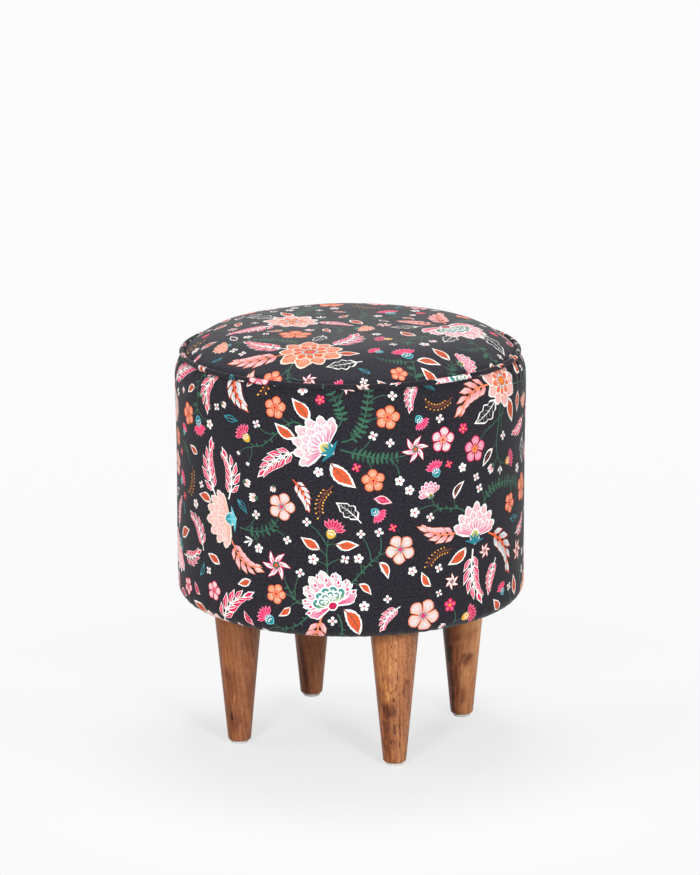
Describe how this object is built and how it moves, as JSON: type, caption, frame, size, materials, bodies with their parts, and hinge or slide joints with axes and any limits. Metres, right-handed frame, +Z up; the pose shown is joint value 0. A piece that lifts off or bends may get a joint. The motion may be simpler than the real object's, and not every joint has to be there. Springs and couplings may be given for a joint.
{
  "type": "upholstered stool",
  "caption": "Round drum-shaped tuffet with a crowned, piped seat in floral cotton on straight tapered wooden legs.",
  "frame": {"origin": "on the floor, under the middle of the stool", "axes": "+Z up; -Y towards the front, between the two front legs; +X to the right seen from the front; the legs stand at 45 degrees to X and Y"},
  "size_m": [0.359, 0.359, 0.433],
  "materials": {
    "printed_cotton": "charcoal cotton with a multicoloured floral print, soft matt with a faint sheen",
    "piping_cotton": "the same printed cotton cut on the bias over a cord",
    "leg_wood": "warm brown hardwood with dark streaks, satin lacquer",
    "glide_plastic": "grey moulded nylon",
    "dust_cloth": "black non-woven cloth",
    "foam": "cream open-cell polyurethane foam",
    "plywood": "raw plywood",
    "hardboard": "thin bent hardboard",
    "pine": "raw softwood",
    "zinc_steel": "bright zinc plating"
  },
  "bodies": {
    "root": {"seat_board": "plywood", "base_board": "plywood", "drum_wall": "hardboard", "seat_foam": "foam", "side_foam": "foam", "top_cover": "printed_cotton", "side_cover": "printed_cotton", "piping": "piping_cotton", "dust_cover": "dust_cloth", "post_right": "pine", "post_rear": "pine", "post_left": "pine", "post_front": "pine", "seat_screw_right": "zinc_steel", "seat_screw_rear": "zinc_steel", "seat_screw_left": "zinc_steel", "seat_screw_front": "zinc_steel", "base_screw_right": "zinc_steel", "base_screw_rear": "zinc_steel", "base_screw_left": "zinc_steel", "base_screw_front": "zinc_steel", "leg_rear_right": "leg_wood", "leg_rear_left": "leg_wood", "leg_front_left": "leg_wood", "leg_front_right": "leg_wood", "hanger_bolt_rear_right": "zinc_steel", "hanger_bolt_rear_left": "zinc_steel", "hanger_bolt_front_left": "zinc_steel", "hanger_bolt_front_right": "zinc_steel", "tee_nut_rear_right": "zinc_steel", "tee_nut_rear_left": "zinc_steel", "tee_nut_front_left": "zinc_steel", "tee_nut_front_right": "zinc_steel", "glide_rear_right": "glide_plastic", "glide_rear_left": "glide_plastic", "glide_front_left": "glide_plastic", "glide_front_right": "glide_plastic", "glide_nail_rear_right": "zinc_steel", "glide_nail_rear_left": "zinc_steel", "glide_nail_front_left": "zinc_steel", "glide_nail_front_right": "zinc_steel", "staple_01": "zinc_steel", "staple_02": "zinc_steel", "staple_03": "zinc_steel", "staple_04": "zinc_steel", "staple_05": "zinc_steel", "staple_06": "zinc_steel", "staple_07": "zinc_steel", "staple_08": "zinc_steel", "staple_09": "zinc_steel", "staple_10": "zinc_steel", "staple_11": "zinc_steel", "staple_12": "zinc_steel"}
  },
  "joints": []
}
